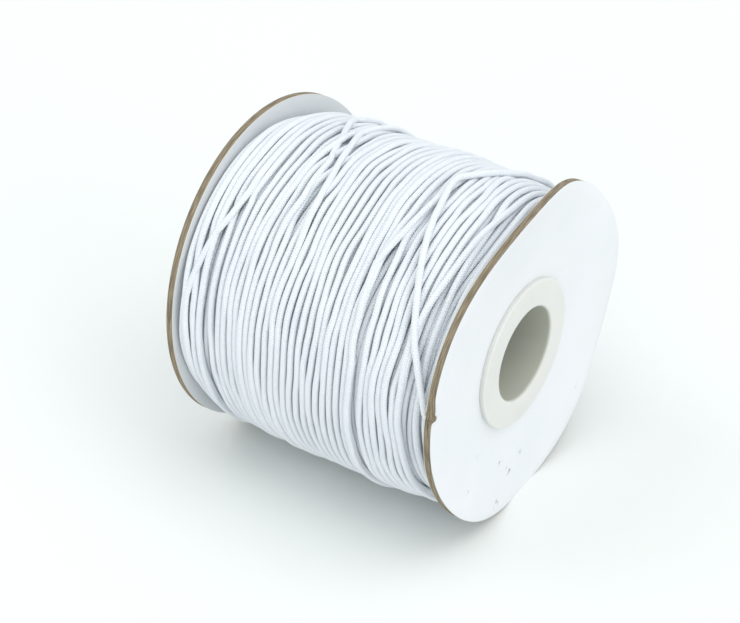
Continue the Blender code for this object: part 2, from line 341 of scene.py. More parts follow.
# Places where two turns stand apart and the dark below shows between them. X and width are in
# millimetres, angle and reach in degrees.
Parting = namedtuple("Parting", "x angle reach width")
PARTINGS = (
    Parting(-25.3, 62, 7, 0.9), Parting(-23.5, -7, 6, 0.6), Parting(-17.3, 87, 6, 1.0),
    Parting(-17.2, -12, 6, 0.6), Parting(-16.3, 60, 6, 0.5), Parting(-16.5, 40, 6, 0.6),
    Parting(-13.5, 73, 6, 0.8), Parting(-12.0, 27, 6, 0.6), Parting(-10.7, 71, 6, 1.3),
    Parting(-8.3, 14, 5, 0.6), Parting(-4.7, 45, 6, 0.8), Parting(-5.2, 102, 6, 0.8),
    Parting(-1.8, 22, 5, 0.6), Parting(-0.6, 85, 5, 0.9), Parting(1.2, 10, 5, 0.5),
    Parting(3.3, 81, 5, 0.8), Parting(3.8, 30, 5, 0.7), Parting(6.1, 50, 7, 1.3),
    Parting(3.0, -16, 6, 0.7), Parting(1.1, -30, 7, 1.1), Parting(9.6, 73, 6, 1.0),
    Parting(10.9, 53, 6, 0.7), Parting(13.8, 25, 6, 0.6), Parting(16.0, 25, 6, 0.7),
    Parting(14.2, 98, 5, 1.0), Parting(17.5, 65, 6, 0.8), Parting(22.3, 84, 6, 1.2),
    Parting(24.0, 47, 5, 0.6), Parting(26.4, 23, 5, 0.6), Parting(20.8, 8, 5, 0.5),
)
print(len(LINES), "lines and", len(PARTINGS), "partings set by eye")

# %% [markdown]
# Round the back the lanes sway by a sum of slow sine waves with a fixed seed. Then all lanes are
# eased together, as cords push each other aside: each is drawn to where it was set, kept from its
# neighbours, drawn back to them where it strays, and smoothed along its length, since a tight cord
# takes no sharp bends. This is done some hundreds of times for all the lanes at once, on an array
# with a row for each lane and a column for each of 180 places round the roll.

# %% Ease the lanes
PLACES = 180
START = -60.0  # a turn begins under the front
ANGLES = START + 360.0 * np.arange(PLACES) / PLACES
HIDDEN_FROM, HIDDEN_TO = 125.0, 300.0  # turns change lanes between these angles
Fade = namedtuple("Fade", "start over")  # degrees
PAST_TOP = Fade(105, 35)  # the lanes set by eye give way to even ones past the top
PAST_FRONT = Fade(-30, 28)  # and below the front
EDGE_RADIUS = 0.0375  # where the room between the cards is measured
END_TURN = 0.54 * CORD  # from the end of that room to the middle of the outermost turn
WAVES_ROUND = (2, 3, 4, 5, 7)
WAVES_ACROSS = (120, 420)  # radians in a metre
SWAY = 0.0011  # of the lanes, round the back
STRAY = 0.00034  # each turn's own waviness
STRAYS_ROUND = (3, 4, 6, 8, 11)
CLOSEST = 0.00148  # least room from a turn's middle to the next, just under the cord's thickness
FURTHEST = 0.0018  # turns further apart than this are drawn together, but for the partings
PARTING_WIDTH, PARTING_REACH = 0.8, 2.2  # gains on each parting's set width and reach
ROUNDS = 400
TO_SET, TO_STRAIGHT, APART, TOGETHER = 0.04, 0.12, 0.45, 0.2  # how strong each pull is
rng = np.random.default_rng(11)


def smooth(share):
    share = np.clip(share, 0, 1)
    return share * share * (3 - 2 * share)


def pack_end(side, radius, angle):
    """X of the winding's end, just clear of the card's inner face."""
    return card_x(side, radius, angle) - SIDES[side] * (CARD + GAP)


def sway(x, angle, size):
    """Slow random waves across and round the roll."""
    total = 0.0
    for round_count in WAVES_ROUND:
        across = rng.uniform(*WAVES_ACROSS) * rng.choice((-1, 1))
        phase = rng.uniform(0, 2 * math.pi)
        total = total + np.sin(across * x + np.radians(round_count * angle) + phase)
    return size * total / 2


ends = [pack_end(side, EDGE_RADIUS, ANGLES) for side in ("plain", "slit")]
ends = [ends[0] + END_TURN, ends[1] - END_TURN]
lane_numbers = np.arange(LANES) + 0.5
even = ends[0] + (ends[1] - ends[0]) * ((lane_numbers[:, None] - 0.5) / (LANES - 1))

front_numbers = [0.5, *(line.turns_left for line in LINES), LANES - 0.5]
front = np.empty((LANES, PLACES))
for m, angle in enumerate(ANGLES):
    at = np.clip(angle, LINE_ANGLES[-1], LINE_ANGLES[0])
    middles = [np.interp(at, LINE_ANGLES[::-1], line[:0:-1]) / 1000 for line in LINES]
    front[:, m] = np.interp(lane_numbers, front_numbers, [ends[0][m], *middles, ends[1][m]])
hidden = np.maximum(
    smooth((ANGLES - PAST_TOP.start) / PAST_TOP.over),
    smooth((PAST_FRONT.start - ANGLES) / PAST_FRONT.over),
)
wanted = front + (even + sway(even, ANGLES, SWAY) - front) * hidden
for count in STRAYS_ROUND:
    phase = rng.uniform(0, 2 * math.pi, (LANES, 1))
    wanted += STRAY * rng.normal(0, 1, (LANES, 1)) * np.sin(count * np.radians(ANGLES) + phase)

closest = np.full((LANES - 1, PLACES), CLOSEST)
for part in PARTINGS:
    at = int(np.argmin(abs(ANGLES - part.angle)))
    lane = int(np.clip(np.searchsorted(wanted[:, at], part.x / 1000), 1, LANES - 1)) - 1
    off = (ANGLES - part.angle) / (PARTING_REACH * part.reach)
    wide = (CORD + PARTING_WIDTH * part.width / 1000) * np.exp(-(off**2))
    closest[lane] = np.maximum(closest[lane], wide)

lanes = wanted.copy()
for _ in range(ROUNDS):
    lanes += TO_SET * (wanted - lanes)
    lanes += TO_STRAIGHT * (0.5 * (np.roll(lanes, 1, 1) + np.roll(lanes, -1, 1)) - lanes)
    room = np.diff(lanes, axis=0)
    push = APART * np.clip(closest - room, 0, None)
    push -= TOGETHER * np.clip(room - np.maximum(FURTHEST, closest), 0, None)
    lanes[1:] += push
    lanes[:-1] -= push
    lanes = np.clip(lanes, ends[0], ends[1])
room = np.diff(lanes, axis=0) * 1000
print("lanes", LANES, "rooms between them", room.min().round(2), "to", room.max().round(2), "mm")

# %% [markdown]
# A winding goes to and fro. The turns that were laid on the way left now lie lower, a lane apart,
# and those laid on the way right lie on top in the lanes between. Each change of lane is made
# round the back, where the two sets cross. A few turns also leave their lane on the front and
# cross several others before they settle, in a whole lane again. The turns that they pass over
# move aside, and close up behind them by one lane.

# %% Which lane each turn takes
Crossing = namedtuple("Crossing", "angles xs")  # degrees and millimetres
CROSSINGS = (
    Crossing((66, 58, 48, 40, 28, 18), (-25.6, -25.4, -26.6, -28.5, -30.0, -31.2)),
    Crossing((112, 104, 96, 88, 80, 73, 62), (-21.4, -19.5, -17.2, -15.5, -13.6, -12.2, -11.0)),
    Crossing((100, 91, 81, 73, 62), (-14.6, -12.8, -11.3, -10.0, -8.9)),
    Crossing((80, 72, 64, 57, 50), (14.7, 14.1, 13.3, 12.3, 11.2)),
    Crossing((66, 60, 49, 41, 30), (27.9, 27.5, 26.7, 25.8, 24.9)),
)
FIRST_OFF = {"lower": LANES - 1, "upper": LANES % 2}
STEPS_BACK = {"lower": -2, "upper": 2}
TURNS = {"lower": (LANES + 1) // 2, "upper": LANES // 2}
EASE = 3.0  # lanes over which the others move aside for a turn that crosses them
SETTLING = 18.0  # degrees over which a turn that has crossed others settles in a lane
LEAVES_ABOVE, LEAVES_OVER = 32, 38  # it leaves its own lane this far above its first point, over so many
RETURNING = Fade(200, 90)  # the turn before it goes over to the lane in which it starts
changing = smooth((ANGLES - HIDDEN_FROM) / (HIDDEN_TO - HIDDEN_FROM))


def lane_of(layer, turn):
    """The lane, a number with a fraction while it changes, of one turn at each place."""
    lane = FIRST_OFF[layer] + STEPS_BACK[layer] * (turn + changing)
    return np.clip(lane, 0, LANES - 1)


def x_in(lane):
    """X at each place for a turn that is in this lane there."""
    whole = np.clip(np.floor(lane).astype(int), 0, LANES - 2)
    share = lane - whole
    column = np.arange(PLACES)
    return lanes[whole, column] * (1 - share) + lanes[whole + 1, column] * share


def between(rows, low, high, ease):
    """1 for lanes from low to high and 0 for others, passing over in this many lanes."""
    return smooth((high - rows) / ease + 0.5) * smooth((rows - low) / ease + 0.5)


lane_rows = {layer: np.array([lane_of(layer, t) for t in range(TURNS[layer])]) for layer in TURNS}
crossers = []
for crossing in CROSSINGS:
    top = int(np.argmin(abs(ANGLES - crossing.angles[0])))
    first = np.interp(crossing.xs[0] / 1000, lanes[:, top], np.arange(LANES))
    turn = int(np.clip(round((first - LANES % 2) / 2), 1, TURNS["upper"] - 1))
    while turn in crossers or turn - 1 in crossers:
        turn += 1
    own = lane_rows["upper"][turn].copy()
    before = lane_rows["upper"][turn - 1].copy()
    path = np.interp(ANGLES, crossing.angles[::-1], crossing.xs[::-1]) / 1000
    gone = np.array([np.interp(path[m], lanes[:, m], np.arange(LANES)) for m in range(PLACES)])
    last = gone[int(np.argmin(abs(ANGLES - crossing.angles[-1])))]
    settled = smooth((crossing.angles[-1] - ANGLES) / SETTLING)
    gone = np.where(settled > 0, last + (round(last) - last) * settled, gone)
    blend = smooth((crossing.angles[0] + LEAVES_ABOVE - ANGLES) / LEAVES_OVER)
    own_path = own + (gone - own) * blend
    returning = smooth((ANGLES - RETURNING.start) / RETURNING.over)
    before_path = before + (gone[0] - own[0]) * returning
    usual = np.where(ANGLES < HIDDEN_FROM, own, before)
    strayed = np.where(ANGLES < HIDDEN_FROM, own_path, before_path)
    ease = 1 + (EASE - 1) * (1 - settled) * np.clip(abs(strayed - usual), 0, 1)
    for rows in lane_rows.values():
        over = between(rows, usual + 0.5, strayed + 0.5, ease)
        under = between(rows, strayed - 0.5, usual - 0.5, ease)
        rows += under - over
    lane_rows["upper"][turn] = own_path
    lane_rows["upper"][turn - 1] = before_path
    crossers += [turn - 1, turn]
print("turns that cross others on the front:", crossers)

# %% [markdown]
# The cord's last run lies on top of all the others. Its path is set before the turns are
# laid, so that they can be kept below it. The part round the back is out of sight, and a guess.

# %% Where the last run lies
Spot = namedtuple("Spot", "x radius angle")
END_RUN = (
    Spot(0.0154, 0.0391, 85), Spot(0.0168, 0.0391, 77), Spot(0.0178, 0.0392, 70),
    Spot(0.0192, 0.0393, 62.5), Spot(0.0207, 0.0393, 55.5), Spot(0.0223, 0.0392, 48.5),
    Spot(0.0239, 0.0390, 41.5), Spot(0.0252, 0.0388, 35), Spot(0.0265, 0.0385, 29.5),
    Spot(0.0279, 0.0382, 24.5), Spot(0.0294, 0.0381, 19), Spot(0.0308, 0.0381, 14),
)
LAST_TURN = (
    Spot(0.0154, 0.0391, 85), Spot(0.0151, 0.0390, 91), Spot(0.0169, 0.0387, 97),
    Spot(0.0189, 0.0385, 103), Spot(0.0213, 0.0382, 111), Spot(0.0229, 0.0377, 122),
    Spot(0.0236, 0.0375, 145), Spot(0.0232, 0.0379, 190), Spot(0.0236, 0.0382, 230),
    Spot(0.0234, 0.0372, 265), Spot(0.0231, 0.0358, 285),
)
NOWHERE = 1.0  # x of the last run at angles where there is none
run_spots = END_RUN[::-1] + LAST_TURN[1:]
run_angles = [spot.angle for spot in run_spots]
run_x = np.interp(ANGLES, run_angles, [spot.x for spot in run_spots], left=NOWHERE, right=NOWHERE)
run_radius = np.interp(ANGLES, run_angles, [spot.radius for spot in run_spots])
print("the last run lies over the turns from", run_angles[0], "to", run_angles[-1], "degrees")

# %% [markdown]
# Now the turns are laid. The cord's middle comes to rest on the deeper turns: at each place round
# the roll the new turn is a disc that touches the discs already there, so its height follows from
# Pythagoras. Then it is pulled tight: wherever a straight line between two places of the turn
# would lie above it, it is lifted to that line. The floor under the spool presses the lowest
# turns flat.
#
# The winding's smooth form is that of the solids but at the cards. There turns are heaped up on the
# front, and at the plain card they lie deeper elsewhere. A turn may stand out of that form only a
# little, and one that crosses others a little more, but only where it slants over them.

# %% Lay the turns
PACK_RADIUS = 0.0379
PACK_LEAN = 0.0008  # the pack is this much fuller on the side at the lean angle
LEAN_ANGLE = -30.0
CROWN = 0.0005  # and in its middle
# The winding falls off from this x on, by this depth at the card
Shoulder = namedtuple("Shoulder", "start depth power")
SHOULDERS = {"slit": Shoulder(0.0130, 0.0030, 3), "plain": Shoulder(0.0255, 0.0018, 2)}
# Turns heaped up against a card, over a span of angles on the front
Heap = namedtuple("Heap", "height angle reach power")
HEAPS = {"plain": Heap(0.0036, 40, 58, 4), "slit": Heap(0.0018, 88, 38, 2)}
BED_DEPTH = 0.00200  # the middles of the deepest turns shown lie this far under the surface
# How far turns may stand out over the evened-out surface, on the front and round the back
Proud = namedtuple("Proud", "front back")
PROUDEST = {
    "lower": Proud(0.00040, 0.00030),
    "upper": Proud(0.00065, 0.00130),
    "crossing": Proud(0.0011, 0.0016),
}
PROUD_SWAY = 0.00022
FULL_SLANT = 0.06  # lanes in one place
SLANT_SPREAD = 6  # places on each side
OUTERMOST = 0.0403  # no turn reaches further from the axis than this
TIGHT_SPANS = (4, 3, 2, 1)
UNDER_PITCH = 0.00153
UNDER_SWAY = 0.0004
UNDER_PRESS = 0.0021  # the deepest turns stay this much further off the floor
FACES_FLOOR = 0.5  # sine of the angle from which a turn may touch the floor


def smooth_radius(x, angle):
    """The winding's radius, its ridges and hollows evened out."""
    lean = PACK_LEAN * np.cos(np.radians(angle - LEAN_ANGLE))
    crown = CROWN * (1 - (x / FACE_X) ** 2)
    radius = PACK_RADIUS + lean + crown
    for side, shoulder in SHOULDERS.items():
        share = np.clip(SIDES[side] * x - shoulder.start, 0, None) / (FACE_X - CARD - shoulder.start)
        radius = radius - shoulder.depth * share ** shoulder.power
        heap = HEAPS[side]
        off = (np.asarray(angle) - heap.angle + 180) % 360 - 180
        near = np.exp(-abs(off / heap.reach) ** heap.power)
        radius = radius + heap.height * near * np.minimum(share, 1) ** 2
    return radius


def floor_radius(angle, clearance):
    """How far from the axis something may reach before it touches the floor."""
    down = -np.sin(np.radians(angle))
    room = (AXIS_Z - clearance) / np.clip(down, FACES_FLOOR, None)
    return np.where(down > FACES_FLOOR, room, 1.0)


def tight(radius):
    """Lift a closed turn to the straight lines that span its hollows."""
    for span in TIGHT_SPANS:
        bend = math.cos(math.radians(360.0 / PLACES * span))
        one, other = np.roll(radius, span), np.roll(radius, -span)
        radius = np.maximum(radius, 2 * one * other / (one + other) * bend)
    for _ in range(2):
        radius = 0.5 * radius + 0.25 * (np.roll(radius, 1) + np.roll(radius, -1))
    return radius


laid_x, laid_radius = [], []
press = floor_radius(ANGLES, GAP + CORD / 2)


def lay(x, proudest):
    """Rest a turn on all those laid so far, pressed in where it stands out more than proudest."""
    drum = smooth_radius(x, ANGLES)
    off = abs(np.array(laid_x) - x)
    touch = np.array(laid_radius) + np.sqrt(np.clip(CORD**2 - off**2, 0, None))
    radius = np.maximum(drum - BED_DEPTH, np.where(off < CORD, touch, 0).max(0))
    proudest = proudest.front + (proudest.back - proudest.front) * hidden
    proudest = proudest + sway(x, ANGLES, PROUD_SWAY)
    under_run = run_radius - np.sqrt(np.clip(CORD**2 - (x - run_x) ** 2, 0, None))
    ceiling = np.minimum(np.minimum(press, OUTERMOST - CORD / 2), drum + proudest - CORD / 2)
    ceiling = np.where(abs(x - run_x) < CORD, np.minimum(ceiling, under_run), ceiling)
    radius = np.minimum(tight(np.minimum(radius, ceiling)), press)
    laid_x.append(x)
    laid_radius.append(radius)
    return radius


def slant(lane):
    """How steeply a turn goes over from lane to lane, 0 to 1, and a little beyond on both sides."""
    share = np.clip(abs(np.gradient(lane)) / FULL_SLANT, 0, 1)
    for _ in range(SLANT_SPREAD):
        share = np.maximum(share, 0.5 * (np.roll(share, 1) + np.roll(share, -1)))
    return share


under_count = int((ends[1] - ends[0]).min() / UNDER_PITCH)
under_turns = np.arange(under_count)[:, None] + (ANGLES - START) / 360
under = ends[0] + under_turns / under_count * (ends[1] - ends[0])
rng = np.random.default_rng(5)
under = np.clip(under + sway(under, ANGLES, UNDER_SWAY), ends[0], ends[1])
for x in under:
    laid_x.append(x)
    laid_radius.append(np.minimum(smooth_radius(x, ANGLES) - BED_DEPTH, press - UNDER_PRESS))
paths = {"under": (under, np.array(laid_radius))}
for layer in ("lower", "upper"):
    xs = np.array([x_in(lane) for lane in lane_rows[layer]])
    radii = np.zeros_like(xs)
    last = crossers if layer == "upper" else []
    for turn in sorted(range(len(xs)), key=lambda turn: turn in last):
        proudest = PROUDEST[layer]
        if turn in last:
            share = slant(lane_rows[layer][turn])
            limits = zip(proudest, PROUDEST["crossing"])
            proudest = Proud(*(low + (high - low) * share for low, high in limits))
        radii[turn] = lay(xs[turn], proudest)
    paths[layer] = (xs, radii)
for layer, (xs, radii) in paths.items():
    proud = (radii + CORD / 2 - smooth_radius(xs, ANGLES)) * 1000
    spread = np.percentile(proud, (5, 50, 95)).round(2)
    print(layer, len(xs), "turns, outsides 5, 50, 95 %:", spread, "mm")

# %% [markdown]
# ## Sweep the cord along its path
#
# The turns of a layer are one long line of points. Geometry Nodes sweep a circle along it, which
# keeps the tube round through every bend, and store two things for the braid: how far along the
# cord a point is, and where on the ring. The circle's own position is stored and not an angle,
# because an angle jumps from 360 back to 0 and would leave a seam.

# %% Sweep tool
def sweep_tree():
    """A node group that sweeps a round section along the piece's edges."""
    tree = bpy.data.node_groups.new("sweep_cord", "GeometryNodeTree")
    for name, kind in (("Path", "NodeSocketGeometry"), ("Radius", "NodeSocketFloat"),
                       ("Sides", "NodeSocketInt"), ("Material", "NodeSocketMaterial")):
        tree.interface.new_socket(name, in_out="INPUT", socket_type=kind)
    tree.interface.new_socket("Tube", in_out="OUTPUT", socket_type="NodeSocketGeometry")

    def add(kind, settings=None, **links):
        node = tree.nodes.new(kind)
        for name, value in (settings or {}).items():
            setattr(node, name, value)
        for name, value in links.items():
            socket = node.inputs[name.replace("_", " ")]
            if isinstance(value, bpy.types.NodeSocket):
                tree.links.new(value, socket)
            else:
                socket.default_value = value
        return node

    given = add("NodeGroupInput")
    line = add("GeometryNodeMeshToCurve", Mesh=given.outputs["Path"])
    length = add("GeometryNodeSplineParameter")
    measured = add(
        "GeometryNodeStoreNamedAttribute", {"data_type": "FLOAT", "domain": "POINT"},
        Geometry=line.outputs["Curve"], Name="along", Value=length.outputs["Length"],
    )
    circle = add("GeometryNodeCurvePrimitiveCircle", Resolution=given.outputs["Sides"], Radius=1.0)
    spot = add("GeometryNodeInputPosition")
    ring = add(
        "GeometryNodeStoreNamedAttribute", {"data_type": "FLOAT_VECTOR", "domain": "POINT"},
        Geometry=circle.outputs["Curve"], Name="ring", Value=spot.outputs["Position"],
    )
    thin = add("GeometryNodeTransform", Geometry=ring.outputs["Geometry"])
    size = add("ShaderNodeCombineXYZ", X=given.outputs["Radius"], Y=given.outputs["Radius"], Z=1.0)
    tree.links.new(size.outputs["Vector"], thin.inputs["Scale"])
    swept = add(
        "GeometryNodeCurveToMesh", Curve=measured.outputs["Geometry"],
        Profile_Curve=thin.outputs["Geometry"], Fill_Caps=True,
    )
    soft = add("GeometryNodeSetShadeSmooth", Geometry=swept.outputs["Mesh"])
    done = add(
        "GeometryNodeSetMaterial", Geometry=soft.outputs["Geometry"], Material=given.outputs["Material"]
    )
    out = add("NodeGroupOutput")
    tree.links.new(done.outputs["Geometry"], out.inputs["Tube"])
    return tree


SWEEP = sweep_tree()


def apply_modifiers(obj):
    """Keep what an object's modifiers make of it as its plain mesh."""
    bpy.context.view_layer.update()
    depsgraph = bpy.context.evaluated_depsgraph_get()
    result = bpy.data.meshes.new_from_object(obj.evaluated_get(depsgraph))
    obj.modifiers.clear()
    obj.data = result
    result.name = obj.name


def run_tree(obj, tree, **inputs):
    """Run a node group on an object."""
    modifier = obj.modifiers.new(tree.name, "NODES")
    modifier.node_group = tree
    identifiers = {i.name: i.identifier for i in tree.interface.items_tree if i.in_out == "INPUT"}
    for name, value in inputs.items():
        modifier[identifiers[name]] = value
    apply_modifiers(obj)


def piece(name, vertices, edges=(), faces=()):
    mesh = bpy.data.meshes.new(name)
    mesh.from_pydata([tuple(map(float, v)) for v in vertices], edges, faces)
    return add_object(name, mesh)


def finish_piece(obj, slot, *nodes):
    """The piece rides on the spool and stands for these solids. The slot is not used."""
    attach(obj, "root")
    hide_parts(*nodes)
    print(obj.name, "has", sum(len(p.vertices) - 2 for p in obj.data.polygons), "triangles")


def cord_piece(name, points, sides):
    obj = piece(name, points, [(i, i + 1) for i in range(len(points) - 1)])
    run_tree(obj, SWEEP, Radius=CORD / 2, Sides=sides, Material=cord_white)
    return obj


print("sweep group has", len(SWEEP.nodes), "nodes")

# %% [markdown]
# Where one turn ends and the next begins, under the spool, their heights differ a little. They are
# evened out over a few places, and the whole layer becomes a single cord. It came up from deeper
# turns at one end and goes on elsewhere at the other, so both ends dive into the winding.

# %% Sweep the three layers
SIDES_OF_TUBE = {"under": 8, "lower": 12, "upper": 12}
SEAM = 5  # places on each side over which a seam is evened out
DIVE_PLACES = 18
DIVE_DEPTH = 0.0045
DIVE_POWER = 1.5
dive = DIVE_DEPTH * np.linspace(1, 0, DIVE_PLACES) ** DIVE_POWER
for layer, (xs, radii) in paths.items():
    radius, x = radii.ravel(), xs.ravel()
    for seam in range(PLACES, len(radius), PLACES):
        for values in (radius, x):
            near = values[seam - SEAM:seam + SEAM]
            near[:] = np.linspace(near[0], near[-1], 2 * SEAM)
    radius[:DIVE_PLACES] -= dive
    radius[-DIVE_PLACES:] -= dive[::-1]
    points = place(x, radius, np.tile(ANGLES, len(xs)))
    tube = cord_piece(f"turns_{layer}", points, SIDES_OF_TUBE[layer])
    finish_piece(tube, "elastic", "cord_winding")

# %% [markdown]
# ## The drum under the turns
#
# Where turns part, the eye falls on older turns further down. They are too deep in shade to show as
# single cords, so one drum stands for them: a ring between the cards, with a ridge for each of its
# turns. It is made as a grid of points, each a step on round the section or round the roll.

# %% Drum
DRUM_STEPS = 120
DRUM_ACROSS = 172
DRUM_DEPTH = 0.0022  # from the winding's surface to the tops of the drum's ridges
DRUM_EDGE_RADIUS = 0.036
DRUM_LIFT = 0.0004  # more clearance from the floor
RIDGE_PITCH = 0.0015
RIDGE_LEAN = 0.0006  # a ridge moves on by this in one turn
GROOVE_DEPTH = 0.0006
TUBE_RADIUS = 0.0132  # outside of the hub's tube
SHARP = math.radians(35)  # edges sharper than this stay sharp


def grid_faces(rows, columns):
    """Faces of a grid of points that closes on itself both ways."""
    index = np.arange(rows * columns).reshape(rows, columns)
    on, over = np.roll(index, -1, 0), np.roll(index, -1, 1)
    quads = np.stack([index, over, np.roll(on, -1, 1), on], -1)
    return quads.reshape(-1, 4).tolist()


def outward(obj):
    """Turn all faces of a closed piece outwards and shade it smooth but for sharp edges."""
    bm = bmesh.new()
    bm.from_mesh(obj.data)
    bmesh.ops.remove_doubles(bm, verts=bm.verts, dist=1e-7)
    bmesh.ops.recalc_face_normals(bm, faces=bm.faces)
    if bm.calc_volume(signed=True) < 0:
        bmesh.ops.reverse_faces(bm, faces=bm.faces)
    bm.to_mesh(obj.data)
    bm.free()
    obj.data.shade_smooth()
    obj.data.set_sharp_from_angle(angle=SHARP)


def drum_points(angle):
    """The drum's section at this angle: its ridged outside, then back along its bore."""
    left, far = (pack_end(side, DRUM_EDGE_RADIUS, angle) for side in ("plain", "slit"))
    x = np.linspace(left, far, DRUM_ACROSS)
    along = x - left + RIDGE_LEAN * angle / 360
    grooves = abs(np.cos(np.pi * along / RIDGE_PITCH)) * GROOVE_DEPTH
    top = np.minimum(smooth_radius(x, angle), floor_radius(angle, GAP) - DRUM_LIFT)
    top = top - DRUM_DEPTH - grooves
    bore = np.full(2, TUBE_RADIUS + GAP)
    ends_x = [pack_end(side, TUBE_RADIUS, angle) for side in ("slit", "plain")]
    return place(np.append(x, ends_x), np.append(top, bore), angle)


rows = [drum_points(360.0 * step / DRUM_STEPS) for step in range(DRUM_STEPS)]
drum = piece("deep_turns", np.concatenate(rows), faces=grid_faces(DRUM_STEPS, DRUM_ACROSS + 2))
outward(drum)
drum.data.materials.append(cord_white)
finish_piece(drum, "elastic", "cord_winding")

# %% [markdown]
# ## The last run
#
# The cord's end comes slantwise over the finished winding and goes through a slit in one card,
# which holds it. It is swept like the turns, along a smooth line through listed points.

# %% Last run
SLIT_ANGLE = 9.0
TUCK_RADIUS = 0.0384
TUCK_DEPTHS = (1.4, 0.9, 0.5, 0.15)  # in thicknesses of the card, from its outer face
RUN_SIDES = 16


def smooth_line(points, samples):
    """Points on a smooth curve through the given ones."""
    points = np.asarray(points)
    padded = np.concatenate([[2 * points[0] - points[1]], points, [2 * points[-1] - points[-2]]])
    line = []
    for a, b, c, d in zip(padded, padded[1:], padded[2:], padded[3:]):
        for t in np.arange(samples) / samples:
            bend = (2 * a - 5 * b + 4 * c - d) * t**2
            swing = (3 * b - a - 3 * c + d) * t**3
            line.append(b + ((c - a) * t + bend + swing) / 2)
    return [*line, points[-1]]


def card_place(side, x, radius, angle):
    """A point about the card's own middle, which is a little off the hub's."""
    return place(x, radius, angle) + (0, CARD_SHIFTS[side], HUB_DROP)


outer = float(card_x("slit", TUCK_RADIUS, SLIT_ANGLE))
tucked = [card_place("slit", outer - depth * CARD, TUCK_RADIUS, SLIT_ANGLE) for depth in TUCK_DEPTHS]
end_line = smooth_line([place(*spot) for spot in END_RUN] + tucked, 6)
finish_piece(cord_piece("end_run", end_line, RUN_SIDES), "elastic", "cord_end_run")
last_line = smooth_line([place(*spot) for spot in LAST_TURN], 10)
finish_piece(cord_piece("last_turn", last_line, RUN_SIDES), "elastic", "cord_winding")

# %% [markdown]
# ## The card discs
#
# Each disc is grey-brown board with white paper glued on both faces. The disc is a closed grid:
# rings out along one face, round the cut rim, back along the other face and through the hole. How
# deep in the board each point lies is stored on it, and the paint reads that depth: white where it
# is paper, brown between. The slit is only a thin cut, as it has closed again round the cord. The
# card is swollen over it, with a sharp lip.

# %% Card discs
RING_STEPS = 360
HOLE_RADIUS = 0.0142
FIRST_RING = 0.0165  # under the collar
FACE_RINGS = 13
CORNER = 0.00012  # the cut edge's corners are this round
EASED = 0.3 * CORNER  # how far the middle of such a corner lies in from the sharp one
SLIT_WIDTH = 0.00012
SLIT_DEPTH = 0.0029
SLIT_X = 0.0357  # of the rim at the slit
Bulge = namedtuple("Bulge", "height above reach")  # degrees above the slit
SWELLING = Bulge(0.0006, 4.5, 3.0)
LIP = Bulge(0.00075, 2.0, 1.1)
PUSHED_FROM, PUSHED_OVER = 0.0374, 0.0024  # radii
face_radii = [HOLE_RADIUS, FIRST_RING, *np.linspace(SEAT_RADIUS, FLANGE_RADIUS - CORNER, FACE_RINGS)]
profile = [(0.0, r) for r in face_radii]
profile += [(EASED, FLANGE_RADIUS - EASED), (CORNER, FLANGE_RADIUS)]
profile += [(share * CARD, FLANGE_RADIUS) for share in (0.3, 0.5, 0.7)]
profile += [(CARD - CORNER, FLANGE_RADIUS), (CARD - EASED, FLANGE_RADIUS - EASED)]
profile += [(CARD, r) for r in reversed(face_radii)]
profile += [(CARD / 2, HOLE_RADIUS)]


def hub_measure(y, z):
    """Radius and angle about the hub's axis of points in the scene."""
    return np.hypot(y, z - AXIS_Z), np.degrees(np.arctan2(z - AXIS_Z, -y))


def lip(side, radius, angle):
    """How far the card is pushed outwards over its slit: a gentle swelling and a sharp lip."""
    if side == "plain":
        return 0.0 * angle
    over = angle - SLIT_ANGLE
    pushed = sum(b.height * np.exp(-(((over - b.above) / b.reach) ** 2)) for b in (SWELLING, LIP))
    return pushed * smooth((radius - PUSHED_FROM) / PUSHED_OVER)


def card_disc(side):
    depth, ring = np.array(profile).T
    rows = []
    for step in range(RING_STEPS):
        points = card_place(side, 0.0 * ring, ring, 360.0 * step / RING_STEPS)
        radius, angle = hub_measure(points[:, 1], points[:, 2])
        pushed = lip(side, radius, angle) * (1 - depth / CARD)
        points[:, 0] = card_x(side, radius, angle) - SIDES[side] * depth + pushed
        points[:, 2] = np.maximum(points[:, 2], 0)
        rows.append(points)
    disc = piece(f"card_{side}", np.concatenate(rows), faces=grid_faces(RING_STEPS, len(profile)))
    outward(disc)
    return disc


def cut_slit(disc):
    """Cut the thin slit for the cord's end, square through the rim."""
    reach = 2 * SLIT_DEPTH
    cutter = piece("cutter", [(0, 0, 0)])
    bm = bmesh.new()
    bmesh.ops.create_cube(bm, size=1)
    bm.to_mesh(cutter.data)
    bm.free()
    cutter.scale = (6 * CARD, reach, SLIT_WIDTH)
    cutter.rotation_euler.x = -math.radians(SLIT_ANGLE)
    cutter.location = card_place("slit", SLIT_X, FLANGE_RADIUS - SLIT_DEPTH + reach / 2, SLIT_ANGLE)
    cut = disc.modifiers.new("slit", "BOOLEAN")
    cut.object = cutter
    cut.solver = "EXACT"
    apply_modifiers(disc)
    bpy.data.objects.remove(cutter)


def store_depth(disc, side):
    """Store on each point how deep in the board it lies: 0 on the outer face, 1 on the inner."""
    co = np.array([v.co for v in disc.data.vertices])
    radius, angle = hub_measure(co[:, 1], co[:, 2])
    pushed = lip(side, radius, angle)
    depth = (SIDES[side] * (card_x(side, radius, angle) - co[:, 0]) + pushed) / (CARD + pushed)
    stored = disc.data.attributes.new("depth", "FLOAT", "POINT")
    stored.data.foreach_set("value", depth.astype(np.float32))


